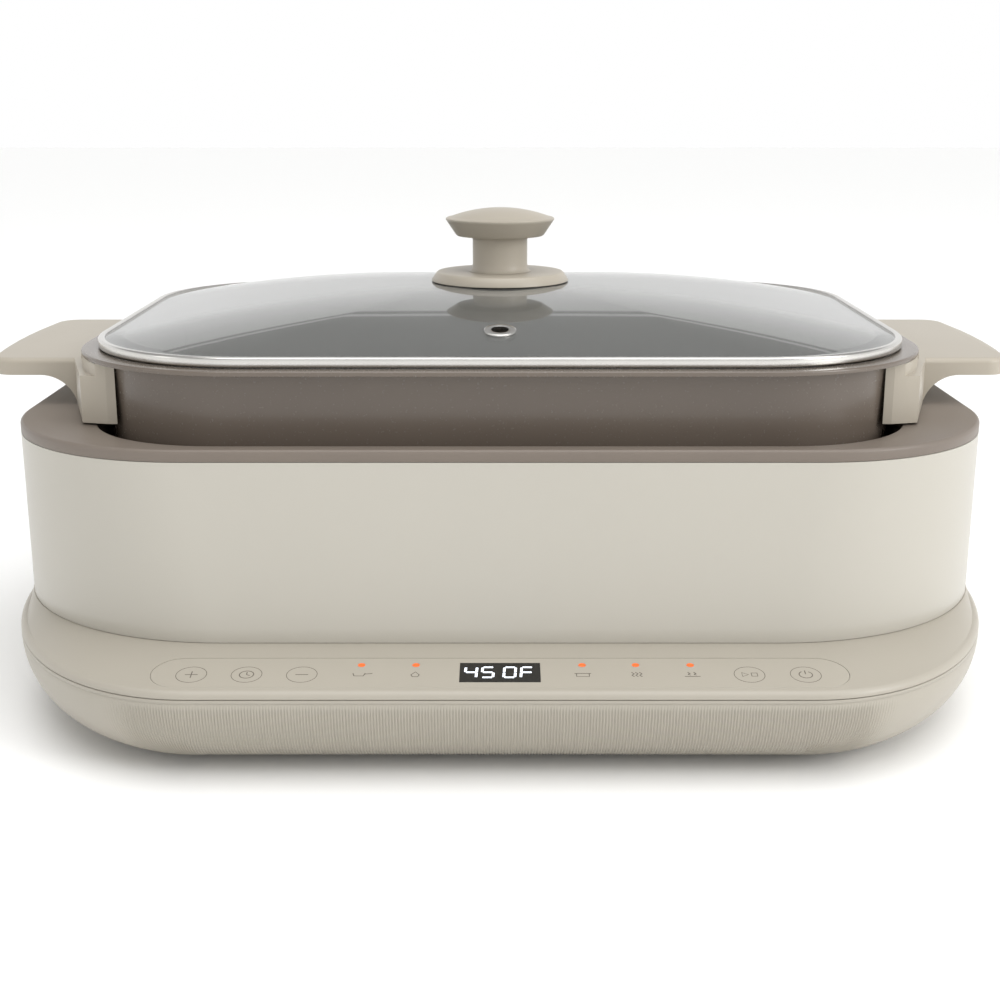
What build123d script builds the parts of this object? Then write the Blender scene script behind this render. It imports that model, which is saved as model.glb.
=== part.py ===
from build123d import *
import os
from math import atan2, cos, sin, sqrt

# Slow cooker: a rectangular pan in a heated housing, on a wide base with a touch panel.
# Millimetres, +Z up, the touch panel faces -Y. The origin is on the table, under the middle
# of the base. The housing, the pan and the lid share one centre, set back from the base's.

os.makedirs("parts", exist_ok=True)

# ---- driving dimensions ----
well_y = 18.0                # centre of the housing, pan, lid and knob
# base
base_half_x = 228.0
base_half_y = 186.0
front_corner_x = 102.0       # the front corners are quarter ellipses, longer along the sides
front_corner_y = 155.0
back_corner_r = 110.0
foot_h = 3.0
bowl_r = 33.0                # the tub's sides curve in under it like a bowl
tub_wall = 2.6
tub_top = 38.0
# deck
deck_bottom = 38.3           # a thin shadow gap separates the deck from the tub
deck_rim_z = 41.6            # where the deck's top meets its rounded edge
deck_seat_z = 47.3           # where the housing stands on the deck
deck_wall = 2.5
rim_round = 3.0
# housing wall and collar
wall_t = 1.6
wall_bottom = (223.7, 163.1, 105.0)      # half length, half depth, corner radius
wall_top = (220.3, 159.7, 87.0)
collar_bottom = 125.4
collar_top = 130.6
collar_plate = 3.0
opening_top = (181.5, 151.7, 60.0)       # the opening, and the lip it slopes down to
opening_low = (180.4, 138.5, 58.0)
lip_turn_z = 118.0
lip_bottom_z = 112.0
lip_t = 1.6
# heater well
liner_plan = (182.6, 140.7, 60.2)
liner_t = 0.8
liner_flange_plan = (196.0, 146.0, 62.0)
reflector_plan = (152.0, 108.0, 45.0)
plate_plan = (160.0, 118.0, 50.0)
liner_floor = 46.0
liner_top = 117.6
plate_bottom = 57.0
plate_top = 62.0
plate_screw_at = (140.0, 88.0)
# pan
pan_bottom = 62.4
pan_rim_under = 158.5
pan_rim_top = 160.7
pan_wall = 3.0
pan_top_plan = (181.0, 135.0, 60.0)
pan_low_plan = (176.0, 130.0, 56.0)
pan_rim_plan = (193.0, 145.0, 80.0)
# lid
lid_rim_bottom = 161.1
lid_rim_top = 165.5
lid_plan = (186.0, 138.0, 76.0)
glass_t = 3.8
dome_base = 164.6
dome_rise = 17.4
dome_power = 2.2             # the dome falls away from its middle as this power of the distance
vent_y = -87.0
# knob
knob_base_z = 181.6
knob_stem_z = 186.4
knob_cap_z = 204.0
knob_edge_z = 212.2
knob_edge_r = 27.1
knob_top_z = 217.7
# handles
grip_half_y = 64.3
grip_reach = 243.5
grip_under = 144.8
grip_top = 152.7
leg_bottom = 131.6
leg_x = 199.5
leg_end_y = 112.6
gusset_r = 17.0
screw_offset_y = 38.0
handle_screw_z = 138.5
screw_seat_x = 195.0
# touch panel, on the sloping front of the deck
panel_y = -169.3
panel_half_x = 143.0
panel_half_y = 11.8
panel_t = 0.8
board_drop = 7.5             # from the panel's face to the top of the control board
board_t = 1.6
key_line = -1.7              # the keys' line, from the panel's middle
light_line = 6.1             # the indicators' line
key_x = (-126.2, -103.6, -81.0, 102.0, 125.0)
light_x = (-57.2, -34.7, 33.9, 56.0, 78.6)
# fastener places
base_screw_at = ((-198, -50), (198, -50), (-198, 90), (198, 90), (-95, -148), (95, -148))
tie_at = [(sx * 205.0, well_y + sy * 35.0) for sx in (-1, 1) for sy in (-1, 1)]
liner_screw_at = [(sx * 190.5, well_y + sy * 50.0) for sx in (-1, 1) for sy in (-1, 1)]
board_screw_x = (-92.3, -46.0, 44.9, 113.5)
foot_at = {"front_left": (-150, -110), "front_right": (150, -110),
           "rear_left": (-150, 120), "rear_right": (150, 120)}
# cord entry, in a recess at the back of the tub
cord_x = 70.0
cord_z = 21.0
recess_half_x = 20.0
recess_wall_y = 173.0
cord_hole_r = 3.75
# power board
power_at = (-95.0, 40.0)
power_z = 12.0

pieces = {}


# ---- plan outlines ----
def rounded(plan, z, grow=0.0):
    """A rounded rectangle about the well's centre, at height z, drawn out by grow."""
    half_x, half_y, corner = plan
    with BuildSketch(Plane((0, well_y, z)), mode=Mode.PRIVATE) as sketch:
        RectangleRounded(2 * (half_x + grow), 2 * (half_y + grow), corner + grow)
    return sketch.sketch


def base_outline(inset, z):
    """The base's plan at height z, drawn in by inset."""
    x, y = base_half_x - inset, base_half_y - inset
    rx, ry = front_corner_x - inset, front_corner_y - inset
    rb = back_corner_r - inset
    with BuildSketch(Plane.XY.offset(z), mode=Mode.PRIVATE) as sketch:
        with BuildLine():
            Line((0, -y), (x - rx, -y))
            EllipticalCenterArc((x - rx, ry - y), rx, ry, start_angle=270, arc_size=90)
            Line((x, ry - y), (x, y - rb))
            CenterArc((x - rb, y - rb), rb, 0, 90)
            Line((x - rb, y), (0, y))
            mirror(about=Plane.YZ)
        make_face()
    return sketch.sketch


def tray(plan, bottom, top, corner, grow=0.0):
    """A solid of the plan's outline with its bottom edge rounded, to add or to cut away."""
    with BuildPart(mode=Mode.PRIVATE) as solid:
        extrude(rounded(plan, bottom, grow), amount=top - bottom)
        fillet(solid.faces().sort_by(Axis.Z)[0].edges(), corner)
    return solid.part


# the panel's plane lies along the straight slope at the front of the deck
slope_low = (-(base_half_y - rim_round), deck_rim_z)
slope_high = (well_y - wall_bottom[1], deck_seat_z)
slope_run = slope_high[0] - slope_low[0]
slope_rise = slope_high[1] - slope_low[1]
slope_angle = atan2(slope_rise, slope_run)
panel_z = deck_rim_z + (panel_y - slope_low[0]) * slope_rise / slope_run


def panel_plane(depth):
    """The plane that lies depth below the panel's face."""
    upward = (0, -sin(slope_angle), cos(slope_angle))
    return Plane((0, panel_y, panel_z), x_dir=(1, 0, 0), z_dir=upward).offset(-depth)


# ---- base ----
with BuildPart() as tub_cavity:
    extrude(base_outline(tub_wall, foot_h + tub_wall), amount=tub_top - foot_h)
    fillet(tub_cavity.faces().sort_by(Axis.Z)[0].edges(), bowl_r - tub_wall)
    with BuildSketch(Plane.XY) as recess_block:
        with Locations((cord_x, (recess_wall_y - tub_wall + base_half_y) / 2)):
            Rectangle(2 * (recess_half_x + tub_wall), base_half_y - recess_wall_y + tub_wall)
    extrude(amount=100, mode=Mode.SUBTRACT)

with BuildPart() as lower_housing:
    extrude(base_outline(0, foot_h), amount=tub_top - foot_h)
    fillet(lower_housing.faces().sort_by(Axis.Z)[0].edges(), bowl_r)
    add(tub_cavity.part, mode=Mode.SUBTRACT)
    with BuildSketch(Plane.XY.offset(foot_h - 1)):
        with Locations((cord_x, recess_wall_y + 10)):
            Rectangle(2 * recess_half_x, 20)
    extrude(amount=50, mode=Mode.SUBTRACT)
    with BuildSketch(Plane.XY.offset(foot_h + 1)):
        with Locations(*base_screw_at):
            Circle(5.5)
    extrude(amount=30)
    with BuildSketch(Plane.XY.offset(foot_h + 1)):
        with Locations(power_at):
            with GridLocations(96, 56, 2, 2):
                Circle(3.5)
    extrude(amount=power_z - foot_h - 1)
    with BuildSketch(Plane.XY):
        with Locations(*base_screw_at):
            Circle(1.9)
    extrude(amount=50, mode=Mode.SUBTRACT)
    with BuildSketch(Plane.XY):
        with Locations(*base_screw_at):
            Circle(4.0)
    extrude(amount=7, mode=Mode.SUBTRACT)
    with BuildSketch(Plane.XY.offset(power_z - 5)):
        with Locations(power_at):
            with GridLocations(96, 56, 2, 2):
                Circle(1.2)
    extrude(amount=10, mode=Mode.SUBTRACT)
    with BuildSketch(Plane.XY):
        with Locations(*foot_at.values()):
            Circle(3.6)
        with Locations((0, -60), (0, -10)):
            with GridLocations(14, 1, 7, 1):
                SlotOverall(34, 3.2, rotation=90)
    extrude(amount=10, mode=Mode.SUBTRACT)
    with BuildSketch(Plane((cord_x, recess_wall_y + 1, cord_z), z_dir=(0, -1, 0))):
        Circle(6.6)
    extrude(amount=6, mode=Mode.SUBTRACT)
pieces["lower_housing"] = lower_housing

with BuildPart() as deck_edge:
    extrude(base_outline(0, deck_bottom), amount=deck_rim_z - deck_bottom)
    fillet(deck_edge.faces().sort_by(Axis.Z)[-1].edges(), rim_round)
deck_flat = deck_edge.faces().sort_by(Axis.Z)[-1]

with BuildPart() as control_deck:
    add(deck_edge.part)
    # the top rises from the rounded edge to the housing's foot
    loft([deck_flat, rounded(wall_bottom, deck_seat_z, 0.4).face()], ruled=True)
    extrude(base_outline(4.8, deck_bottom), amount=1, mode=Mode.SUBTRACT)
    loft([base_outline(4.8, deck_bottom + 1), rounded(wall_bottom, deck_seat_z - deck_wall, -3.0)],
         ruled=True, mode=Mode.SUBTRACT)
    # the lip that locates the deck in the tub
    extrude(base_outline(3.0, 34.0), amount=deck_bottom + 0.5 - 34.0)
    extrude(base_outline(4.8, 33.0), amount=deck_bottom + 0.5 - 33.0, mode=Mode.SUBTRACT)
    with BuildSketch(Plane.XY.offset(33.0)):
        with Locations((cord_x, base_half_y - 8)):
            Rectangle(2 * (recess_half_x + tub_wall) + 1.5, 16)
    extrude(amount=deck_bottom - 33.0, mode=Mode.SUBTRACT)
    # screw bosses, cut off under the deck's top
    with BuildSketch(Plane.XY.offset(34.3)):
        with Locations(*base_screw_at):
            Circle(5.5)
    extrude(amount=deck_seat_z - deck_wall - 34.3 + 0.3)
    with BuildSketch(panel_plane(board_drop)):
        with Locations(*[(x, key_line) for x in board_screw_x]):
            Circle(2.8)
    extrude(amount=board_drop - deck_wall + 0.5)
    # the well passes through
    extrude(rounded(liner_plan, 30, 3.5), amount=30, mode=Mode.SUBTRACT)
    with BuildSketch(Plane.XY.offset(33)):
        with Locations(*base_screw_at):
            Circle(1.55)
    extrude(amount=10, mode=Mode.SUBTRACT)
    with BuildSketch(Plane.XY.offset(40)):
        with Locations(*tie_at):
            Circle(2.1)
    extrude(amount=10, mode=Mode.SUBTRACT)
    # recess for the touch panel, and the openings under it
    with BuildSketch(panel_plane(panel_t)):
        SlotOverall(2 * panel_half_x + 0.3, 2 * panel_half_y + 0.3)
    extrude(amount=3, mode=Mode.SUBTRACT)
    with BuildSketch(panel_plane(5)):
        Rectangle(31.6, 14.4)
        with Locations(*[(x, light_line) for x in light_x]):
            Circle(1.6)
    extrude(amount=6, mode=Mode.SUBTRACT)
    with BuildSketch(panel_plane(board_drop + 1)):
        with Locations(*[(x, key_line) for x in board_screw_x]):
            Circle(1.0)
    extrude(amount=5.2, mode=Mode.SUBTRACT)
pieces["control_deck"] = control_deck

with BuildPart() as foot:
    Cylinder(11, foot_h, align=(Align.CENTER, Align.CENTER, Align.MIN))
    fillet(foot.faces().sort_by(Axis.Z)[0].edges(), 0.8)
    with Locations((0, 0, foot_h)):
        Cylinder(3.5, 4.4, align=(Align.CENTER, Align.CENTER, Align.MIN))
for corner, (x, y) in foot_at.items():
    with BuildPart() as placed_foot:
        with Locations((x, y, 0)):
            add(foot.part)
    pieces[f"foot_{corner}"] = placed_foot

with BuildPart() as base_screws:
    with Locations(*[(x, y, 4.4) for x, y in base_screw_at]):
        Cylinder(3.4, 2.6, align=(Align.CENTER, Align.CENTER, Align.MIN))
    with Locations(*[(x, y, 6.9) for x, y in base_screw_at]):
        Cylinder(1.5, 35, align=(Align.CENTER, Align.CENTER, Align.MIN))
pieces["base_screws"] = base_screws

# a flanged bush in the recess wall, which the mains cord passes through
with BuildPart() as cord_gland:
    with BuildSketch(Plane((cord_x, recess_wall_y + 2.5, cord_z), z_dir=(0, -1, 0))):
        Circle(9)
    extrude(amount=2.4)
    with BuildSketch(Plane((cord_x, recess_wall_y + 2.5, cord_z), z_dir=(0, -1, 0))):
        Circle(6.5)
    extrude(amount=12)
    with BuildSketch(Plane((cord_x, recess_wall_y + 3, cord_z), z_dir=(0, -1, 0))):
        Circle(cord_hole_r)
    extrude(amount=20, mode=Mode.SUBTRACT)
pieces["cord_gland"] = cord_gland

# ---- housing ----
wall_low_z = deck_seat_z + 0.1
wall_high_z = collar_bottom - 0.1
with BuildPart() as upper_housing:
    loft([rounded(wall_bottom, wall_low_z), rounded(wall_top, wall_high_z)], ruled=True)
    loft([rounded(wall_bottom, wall_low_z, -wall_t), rounded(wall_top, wall_high_z, -wall_t)], ruled=True,
         mode=Mode.SUBTRACT)
pieces["upper_housing"] = upper_housing

plate_under = collar_top - collar_plate
with BuildPart() as top_collar:
    extrude(rounded(wall_top, collar_bottom), amount=collar_top - collar_bottom)
    fillet(top_collar.faces().sort_by(Axis.Z)[-1].edges(), 1.6)
    extrude(rounded(wall_top, 119.0, -2.2), amount=plate_under - 119.0)
    extrude(rounded(wall_top, 118.0, -4.0), amount=plate_under - 118.0, mode=Mode.SUBTRACT)
    with BuildSketch(Plane.XY.offset(112)):
        with Locations(*tie_at):
            Circle(5)
    extrude(amount=plate_under - 112)
    with BuildSketch(Plane.XY.offset(liner_top + 0.1)):
        with Locations(*liner_screw_at):
            Circle(4)
    extrude(amount=plate_under - liner_top - 0.1)
    # the opening's lip slopes in and down, then drops inside the liner
    loft([rounded(opening_low, lip_turn_z, lip_t), rounded(opening_top, collar_top - 0.4, lip_t)],
         ruled=True)
    extrude(rounded(opening_low, lip_bottom_z, lip_t), amount=lip_turn_z - lip_bottom_z)
    loft([rounded(opening_low, lip_turn_z), rounded(opening_top, collar_top)], ruled=True,
         mode=Mode.SUBTRACT)
    extrude(rounded(opening_low, lip_bottom_z - 1), amount=lip_turn_z - lip_bottom_z + 1,
            mode=Mode.SUBTRACT)
    with BuildSketch(Plane.XY.offset(110)):
        with Locations(*tie_at):
            Circle(1.9)
    extrude(amount=15, mode=Mode.SUBTRACT)
    with BuildSketch(Plane.XY.offset(liner_top)):
        with Locations(*liner_screw_at):
            Circle(1.45)
    extrude(amount=129.4 - liner_top, mode=Mode.SUBTRACT)
pieces["top_collar"] = top_collar

# tubes that hold the collar down to the deck, each with a long screw through it
with BuildPart() as spacer_tubes:
    with BuildSketch(Plane.XY.offset(deck_seat_z + 0.1)):
        with Locations(*tie_at):
            Circle(4.5)
            Circle(2.3, mode=Mode.SUBTRACT)
    extrude(amount=111.9 - deck_seat_z - 0.1)
pieces["spacer_tubes"] = spacer_tubes

with BuildPart() as tie_screws:
    with Locations(*[(x, y, 41.6) for x, y in tie_at]):
        Cylinder(3.5, 3.0, align=(Align.CENTER, Align.CENTER, Align.MIN))
    with Locations(*[(x, y, 44.5) for x, y in tie_at]):
        Cylinder(1.85, 76, align=(Align.CENTER, Align.CENTER, Align.MIN))
pieces["tie_screws"] = tie_screws

# ---- heater well ----
plate_corners = [(sx * plate_screw_at[0], well_y + sy * plate_screw_at[1])
                 for sx in (-1, 1) for sy in (-1, 1)]
leg_holes = ((-15, well_y + 80), (15, well_y + 80))
liner_outside = tray(liner_plan, liner_floor, liner_top, 8, liner_t)
liner_inside = tray(liner_plan, liner_floor + liner_t, liner_top + 5, 7.2)

with BuildPart() as inner_liner:
    add(liner_outside)
    extrude(rounded(liner_flange_plan, liner_top - liner_t), amount=liner_t)
    add(liner_inside, mode=Mode.SUBTRACT)
    with BuildSketch(Plane.XY.offset(liner_floor - 1)):
        with Locations(*plate_corners):
            Circle(2.1)
        with Locations(*leg_holes):
            Circle(5)
        with Locations((0, well_y)):
            Circle(6)
    extrude(amount=3, mode=Mode.SUBTRACT)
    with BuildSketch(Plane.XY.offset(liner_top - 2)):
        with Locations(*liner_screw_at):
            Circle(1.6)
    extrude(amount=4, mode=Mode.SUBTRACT)
pieces["inner_liner"] = inner_liner

with BuildPart() as liner_screws:
    with Locations(*[(x, y, liner_top - liner_t - 2.1) for x, y in liner_screw_at]):
        Cylinder(2.8, 2.0, align=(Align.CENTER, Align.CENTER, Align.MIN))
    with Locations(*[(x, y, liner_top - liner_t - 0.1) for x, y in liner_screw_at]):
        Cylinder(1.4, 12, align=(Align.CENTER, Align.CENTER, Align.MIN))
pieces["liner_screws"] = liner_screws

with BuildPart() as heating_plate:
    extrude(rounded(plate_plan, plate_bottom), amount=plate_top - plate_bottom)
    fillet(heating_plate.faces().sort_by(Axis.Z)[-1].edges(), 1.2)
    with Locations((0, well_y, plate_bottom)):
        Cylinder(13, 30, mode=Mode.SUBTRACT)
    with BuildSketch(Plane.XY.offset(plate_bottom - 1)):
        with Locations(*plate_corners):
            Circle(2.0)
    extrude(amount=4.4, mode=Mode.SUBTRACT)
pieces["heating_plate"] = heating_plate

# a sheathed element under the plate, whose ends turn down through the liner's floor
element_r = 3.3
element_z = plate_bottom - element_r - 0.1
with BuildPart() as heating_element:
    with BuildLine() as element_path:
        FilletPolyline((-15, well_y + 80, 34), (-15, well_y + 80, element_z),
                       (-120, well_y + 80, element_z), (-120, well_y - 76, element_z),
                       (120, well_y - 76, element_z), (120, well_y + 80, element_z),
                       (15, well_y + 80, element_z), (15, well_y + 80, 34),
                       radius=(8, 40, 40, 40, 40, 8))
    with BuildSketch(Plane((-15, well_y + 80, 34))):
        Circle(element_r)
    sweep()
pieces["heating_element"] = heating_element

with BuildPart() as heater_spacers:
    with BuildSketch(Plane.XY.offset(liner_floor + liner_t)):
        with Locations(*plate_corners):
            Circle(6)
            Circle(2.1, mode=Mode.SUBTRACT)
    extrude(amount=plate_bottom - liner_floor - liner_t)
pieces["heater_spacers"] = heater_spacers

with BuildPart() as heat_reflector:
    extrude(rounded(reflector_plan, 41.0), amount=0.8)
    with BuildSketch(Plane.XY.offset(41.0)):
        with Locations(*plate_corners):
            Circle(6)
    extrude(amount=liner_floor - 41.0 - 0.1)
    with BuildSketch(Plane.XY.offset(40)):
        with Locations(*plate_corners):
            Circle(2.1)
        with Locations(*leg_holes):
            Circle(6)
        with Locations((0, well_y)):
            Circle(8)
    extrude(amount=8, mode=Mode.SUBTRACT)
pieces["heat_reflector"] = heat_reflector

with BuildPart() as plate_screws:
    with Locations(*[(x, y, 38.4) for x, y in plate_corners]):
        Cylinder(3.6, 2.5, align=(Align.CENTER, Align.CENTER, Align.MIN))
    with Locations(*[(x, y, 40.9) for x, y in plate_corners]):
        Cylinder(1.9, 19, align=(Align.CENTER, Align.CENTER, Align.MIN))
pieces["plate_screws"] = plate_screws

fuse_place = Plane((60, well_y + 30, 43.7), z_dir=(1, 0, 0))
with BuildPart() as thermal_fuse:
    with BuildSketch(fuse_place.offset(-12)):
        Circle(1.9)
    extrude(amount=24)
pieces["thermal_fuse"] = thermal_fuse

with BuildPart() as fuse_clip:
    with Locations((60, well_y + 30, 43.95)):
        Box(9, 8, 4.0)
    with BuildSketch(fuse_place.offset(-12)):
        Circle(2.0)
    extrude(amount=24, mode=Mode.SUBTRACT)
pieces["fuse_clip"] = fuse_clip

# ---- pan sensor: a sprung button in the middle of the plate ----
sensor_stem_r = 3.0
housing_floor = liner_floor + liner_t
with BuildPart() as sensor_housing:
    with Locations((0, well_y, housing_floor)):
        Cylinder(10.5, 55.5 - housing_floor, align=(Align.CENTER, Align.CENTER, Align.MIN))
    with Locations((0, well_y, housing_floor + 2)):
        Cylinder(8.5, 20, align=(Align.CENTER, Align.CENTER, Align.MIN), mode=Mode.SUBTRACT)
    with Locations((0, well_y, housing_floor)):
        Cylinder(sensor_stem_r + 0.06, 20, mode=Mode.SUBTRACT)
pieces["sensor_housing"] = sensor_housing

with BuildPart() as sensor_plunger:
    with Locations((0, well_y, 59.3)):
        Cylinder(11.5, 2.7, align=(Align.CENTER, Align.CENTER, Align.MIN))
    fillet(sensor_plunger.faces().sort_by(Axis.Z)[-1].edges(), 0.8)
    with Locations((0, well_y, 44.0)):
        Cylinder(sensor_stem_r, 16, align=(Align.CENTER, Align.CENTER, Align.MIN))
    with Locations((0, well_y, 45.6)):
        Cylinder(sensor_stem_r + 1, 0.8, align=(Align.CENTER, Align.CENTER, Align.MIN), mode=Mode.SUBTRACT)
    with Locations((0, well_y, 45.6)):
        Cylinder(2.2, 0.8, align=(Align.CENTER, Align.CENTER, Align.MIN))
pieces["sensor_plunger"] = sensor_plunger

with BuildPart() as sensor_clip:
    with Locations((0, well_y, 45.6)):
        Cylinder(5.2, 0.8, align=(Align.CENTER, Align.CENTER, Align.MIN))
        Cylinder(2.2, 0.8, align=(Align.CENTER, Align.CENTER, Align.MIN), mode=Mode.SUBTRACT)
pieces["sensor_clip"] = sensor_clip

spring_bottom = housing_floor + 2.6
with BuildPart() as sensor_spring:
    with BuildLine():
        Helix(pitch=1.9, height=9.2, radius=5.6, center=(0, well_y, spring_bottom))
    with BuildSketch(Plane((5.6, well_y, spring_bottom), z_dir=(0, 1, 0))):
        Circle(0.5)
    sweep(is_frenet=True)
pieces["sensor_spring"] = sensor_spring

# ---- controls ----
with BuildPart() as control_overlay:
    with BuildSketch(panel_plane(panel_t)):
        SlotOverall(2 * panel_half_x, 2 * panel_half_y)
        Rectangle(33.2, 15.9, mode=Mode.SUBTRACT)
        with Locations(*[(x, light_line) for x in light_x]):
            Circle(1.6, mode=Mode.SUBTRACT)
    extrude(amount=panel_t)
pieces["control_overlay"] = control_overlay

with BuildPart() as display_window:
    with BuildSketch(panel_plane(panel_t)):
        Rectangle(33.0, 15.7)
    extrude(amount=panel_t)
pieces["display_window"] = display_window

with BuildPart() as display_module:
    with BuildSketch(panel_plane(board_drop)):
        Rectangle(31.0, 13.8)
    extrude(amount=board_drop - panel_t - 0.2)
pieces["display_module"] = display_module

for number, x in enumerate(light_x, start=1):
    with BuildPart() as light_pipe:
        with BuildSketch(panel_plane(board_drop - 0.8)):
            with Locations((x, light_line)):
                Circle(1.5)
        extrude(amount=board_drop - 0.8)
        with BuildSketch(panel_plane(deck_wall + 2.0)):
            with Locations((x, light_line)):
                Circle(2.3)
        extrude(amount=0.8)
    pieces[f"indicator_pipe_{number}"] = light_pipe

with BuildPart() as control_board:
    with BuildSketch(panel_plane(board_drop + board_t)):
        SlotOverall(2 * panel_half_x - 6, 2 * panel_half_y - 2.4)
        with Locations(*[(x, key_line) for x in board_screw_x]):
            Circle(1.2, mode=Mode.SUBTRACT)
    extrude(amount=board_t)
pieces["control_board"] = control_board

# coil springs that carry each touch area's signal from the deck to the board
contact_wire = 0.35
contact_h = board_drop - deck_wall - 2 * contact_wire - 0.3
with BuildPart() as contact_spring:
    with BuildLine():
        Helix(pitch=contact_h / 3, height=contact_h, radius=2.9)
    with BuildSketch(Plane((2.9, 0, 0), z_dir=(0, 1, 0))):
        Circle(contact_wire)
    sweep(is_frenet=True)
with BuildPart(panel_plane(board_drop - contact_wire - 0.15)) as touch_springs:
    with Locations(*[(x, key_line) for x in key_x + light_x]):
        add(contact_spring.part)
pieces["touch_springs"] = touch_springs

with BuildPart() as buzzer:
    with BuildSketch(panel_plane(board_drop + board_t)):
        with Locations((20, -1)):
            Circle(5)
    extrude(amount=-5)
pieces["buzzer"] = buzzer

# ---- power board and its parts ----
with BuildPart() as power_board:
    with BuildSketch(Plane.XY.offset(power_z)):
        with Locations(power_at):
            RectangleRounded(110, 70, 3)
            with GridLocations(96, 56, 2, 2):
                Circle(1.7, mode=Mode.SUBTRACT)
    extrude(amount=board_t)
pieces["power_board"] = power_board

on_board = power_z + board_t


def board_part(name, x, y, size, corner):
    """A component standing on the power board, named, with its upright edges rounded."""
    with BuildPart() as component:
        with BuildSketch(Plane.XY.offset(on_board)):
            with Locations((power_at[0] + x, power_at[1] + y)):
                RectangleRounded(size[0], size[1], corner)
        extrude(amount=size[2])
    pieces[name] = component


board_part("transformer", -28, 8, (32, 28, 21), 1.5)
board_part("relay", 10, 14, (20, 16, 16), 1.0)
board_part("filter_capacitor", 34, 12, (12, 26, 15), 1.5)

with BuildPart() as terminal_block:
    with Locations((cord_x - 20, 118, tub_wall + foot_h + 5)):
        Box(40, 18, 10)
    with BuildSketch(Plane.XY.offset(12)):
        with Locations((cord_x - 20, 118)):
            with GridLocations(12, 1, 3, 1):
                Circle(2.2)
    extrude(amount=5, mode=Mode.SUBTRACT)
pieces["terminal_block"] = terminal_block

power_screw_at = [(power_at[0] + sx * 48, power_at[1] + sy * 28) for sx in (-1, 1) for sy in (-1, 1)]
with BuildPart() as board_screws:
    with Locations(*[(x, y, on_board) for x, y in power_screw_at]):
        Cylinder(2.6, 2, align=(Align.CENTER, Align.CENTER, Align.MIN))
    with Locations(*[(x, y, on_board - 6) for x, y in power_screw_at]):
        Cylinder(1.15, 6, align=(Align.CENTER, Align.CENTER, Align.MIN))
    with BuildSketch(panel_plane(board_drop + board_t + 1.6)):
        with Locations(*[(x, key_line) for x in board_screw_x]):
            Circle(2.0)
    extrude(amount=1.5)
    with BuildSketch(panel_plane(board_drop + board_t + 0.1)):
        with Locations(*[(x, key_line) for x in board_screw_x]):
            Circle(0.95)
    extrude(amount=5.5)
pieces["board_screws"] = board_screws

# the flat cable from the control board to the power board
ribbon_x = -62.0
with BuildPart() as ribbon_cable:
    with BuildSketch(Plane.YZ.offset(ribbon_x)):
        with BuildLine():
            FilletPolyline((-168, 32.0), (-150, 30.5), (-132, 22), (-112, 8.4), (-40, 7.6),
                           (0, 9), radius=(8, 12, 14, 20))
        trace(line_width=0.8)
    extrude(amount=16)
pieces["ribbon_cable"] = ribbon_cable

# ---- pan ----
lug_reach = 182.0
handle_screw_at = [(sx, well_y + sy * screw_offset_y) for sx in (-1, 1) for sy in (-1, 1)]


def sideways(side, x, y, z):
    """The plane at x along an outward X axis, on the side given by +1 or -1."""
    return Plane((side * x, y, z), z_dir=(side, 0, 0))


with BuildPart() as pan_inside:
    loft([rounded(pan_low_plan, pan_bottom + pan_wall, -pan_wall),
          rounded(pan_top_plan, pan_rim_top, -pan_wall)], ruled=True)
    fillet(pan_inside.faces().sort_by(Axis.Z)[0].edges(), 10)

with BuildPart() as cooking_pan:
    loft([rounded(pan_low_plan, pan_bottom), rounded(pan_top_plan, pan_rim_under + 0.5)], ruled=True)
    fillet(cooking_pan.faces().sort_by(Axis.Z)[0].edges(), 12)
    extrude(rounded(pan_rim_plan, pan_rim_under), amount=pan_rim_top - pan_rim_under)
    fillet(cooking_pan.faces().sort_by(Axis.Z)[-1].outer_wire().edges(), 0.9)
    for side, y in handle_screw_at:
        with BuildSketch(sideways(side, 177.5, y, handle_screw_z)):
            Circle(6)
        extrude(amount=lug_reach - 177.5)
    add(pan_inside.part, mode=Mode.SUBTRACT)
    for side, y in handle_screw_at:
        with BuildSketch(sideways(side, 178.6, y, handle_screw_z)):
            Circle(1.95)
        extrude(amount=10, mode=Mode.SUBTRACT)
pieces["cooking_pan"] = cooking_pan


def leg_outline(z):
    """The handles' legs in plan, both ends of the pan at once: they narrow towards their ends."""
    with BuildSketch(Plane.XY.offset(z), mode=Mode.PRIVATE) as sketch:
        for side in (-1, 1):
            with BuildLine():
                Polyline((side * 150, well_y - leg_end_y), (side * 173.0, well_y - leg_end_y),
                         (side * 185.2, well_y - leg_end_y + 3.2), (side * leg_x, well_y - grip_half_y),
                         (side * leg_x, well_y + grip_half_y), (side * 185.2, well_y + leg_end_y - 3.2),
                         (side * 173.0, well_y + leg_end_y), (side * 150, well_y + leg_end_y), close=True)
            make_face()
    return sketch.sketch


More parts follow.
